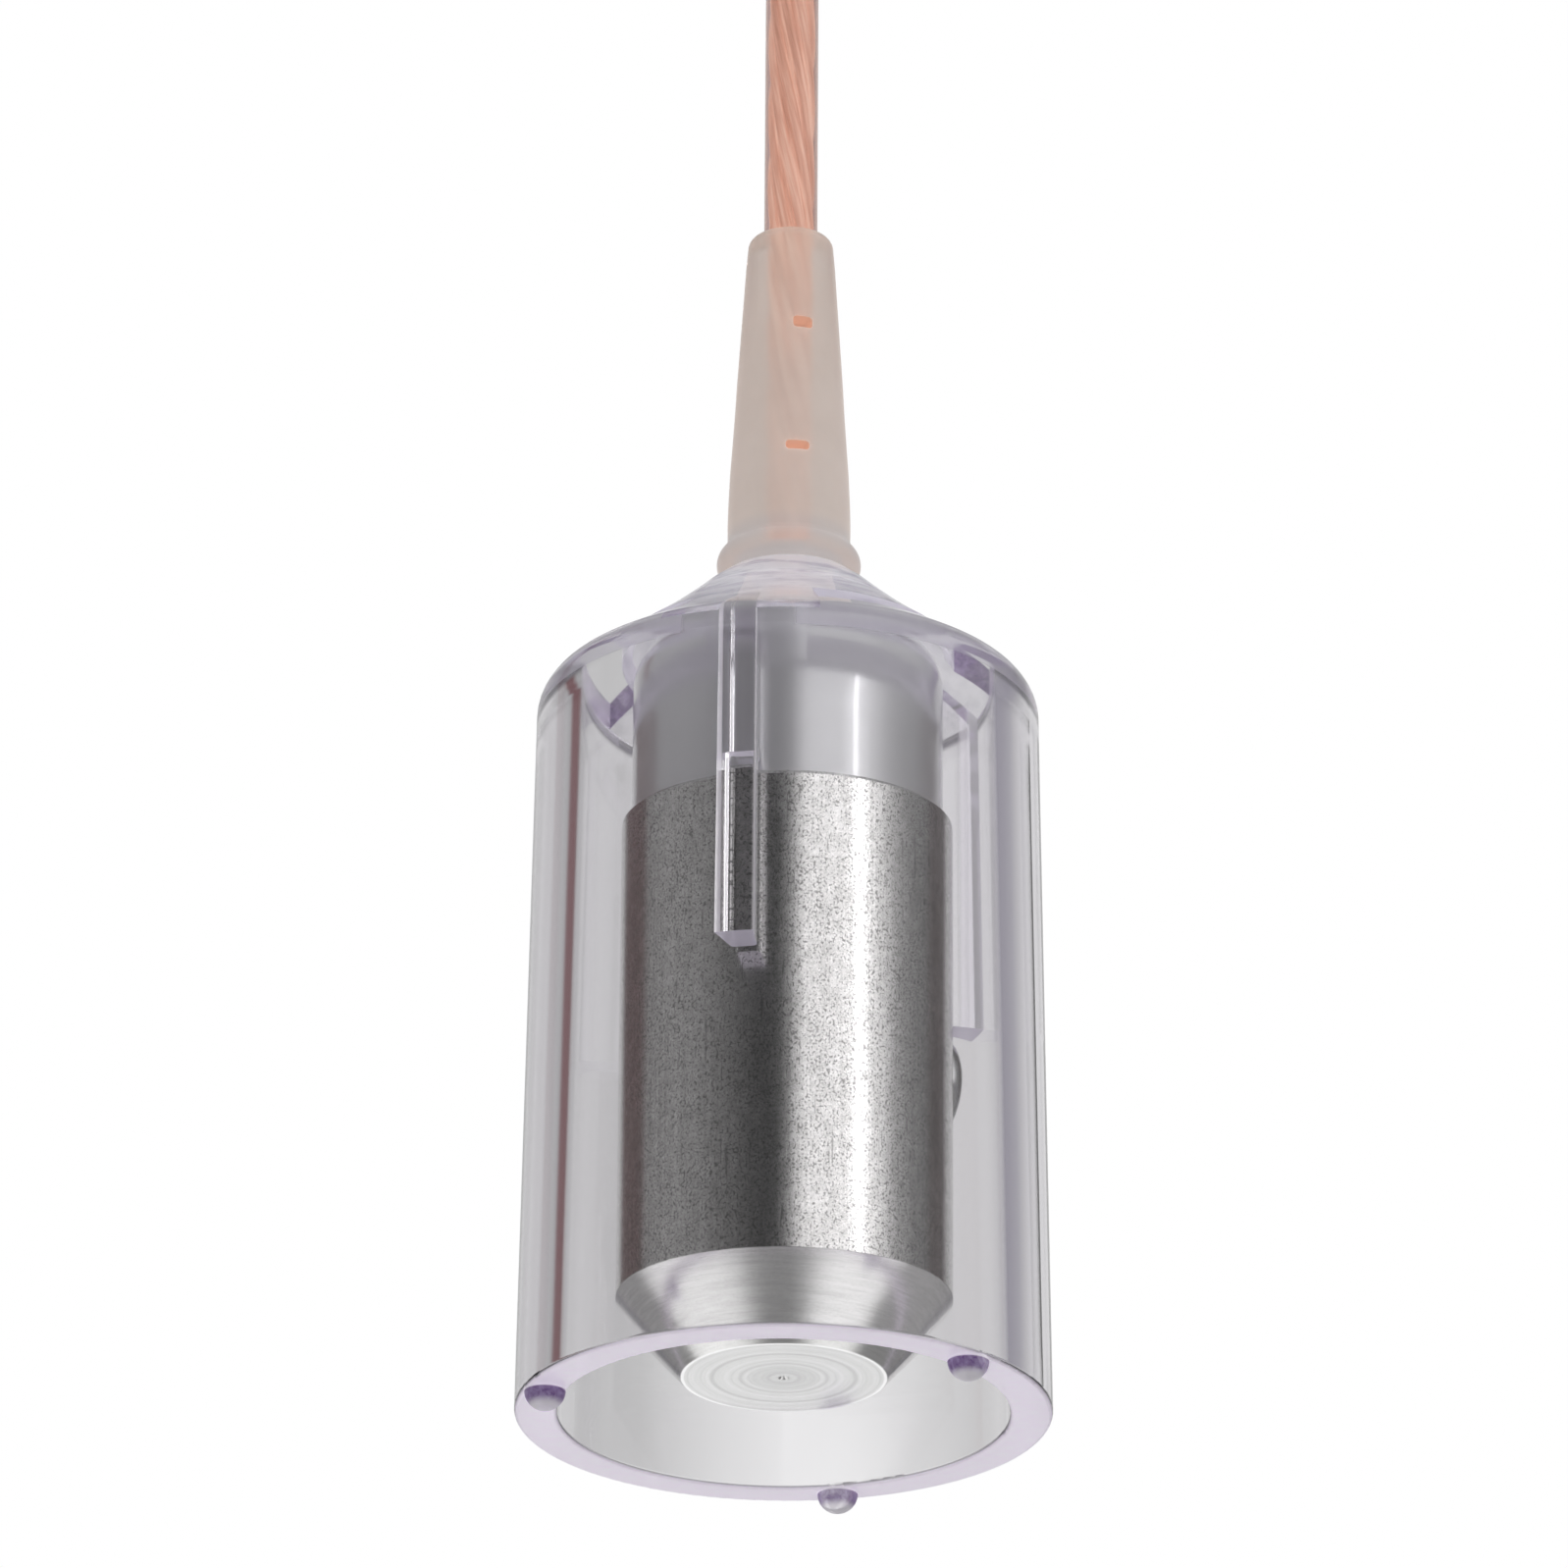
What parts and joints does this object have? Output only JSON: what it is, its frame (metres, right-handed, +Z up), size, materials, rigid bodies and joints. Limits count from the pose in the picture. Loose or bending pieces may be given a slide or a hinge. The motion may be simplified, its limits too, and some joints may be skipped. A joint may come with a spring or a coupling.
{
  "type": "suspended level electrode",
  "caption": "Steel rod electrode hung on its cable inside a clear vented protective cup, with a moulded holder, strain relief boot and a cable gland to fix it by.",
  "frame": {"origin": "on the gland's axis, at the seat of its face ring, where the threaded end enters the tank cover or box that carries the electrode", "axes": "+Z up along the cable and the electrode's axis, pointing out of the gland's threaded end; -Y is the front, the side seen in the picture"},
  "size_m": [0.027, 0.027, 0.1246],
  "materials": {
    "clear_cup": "clear moulded, faint violet tint",
    "turned_steel": "turned bar, drawn lines along the side, faced end",
    "screw_steel": "bright",
    "sleeve_tin": "tinned",
    "grey_holder": "smooth moulded",
    "seal_rubber": "matt",
    "copper": "bare stranded wire",
    "clear_sheath": "clear extruded",
    "milky_boot": "translucent moulded",
    "gland_grey": "moulded"
  },
  "bodies": {
    "root": {"protective_cup": "clear_cup", "electrode_body": "turned_steel", "clamp_screw": "screw_steel", "conductor_sleeve": "sleeve_tin", "insulating_holder": "grey_holder", "holder_seal_ring": "seal_rubber", "cable_conductor": "copper", "cable_sheath": "clear_sheath", "wire_end_sleeve": "sleeve_tin", "strain_relief_boot": "milky_boot", "gland_body": "gland_grey", "gland_face_ring": "seal_rubber", "gland_seal_insert": "seal_rubber", "gland_cap_nut": "gland_grey"}
  },
  "joints": []
}
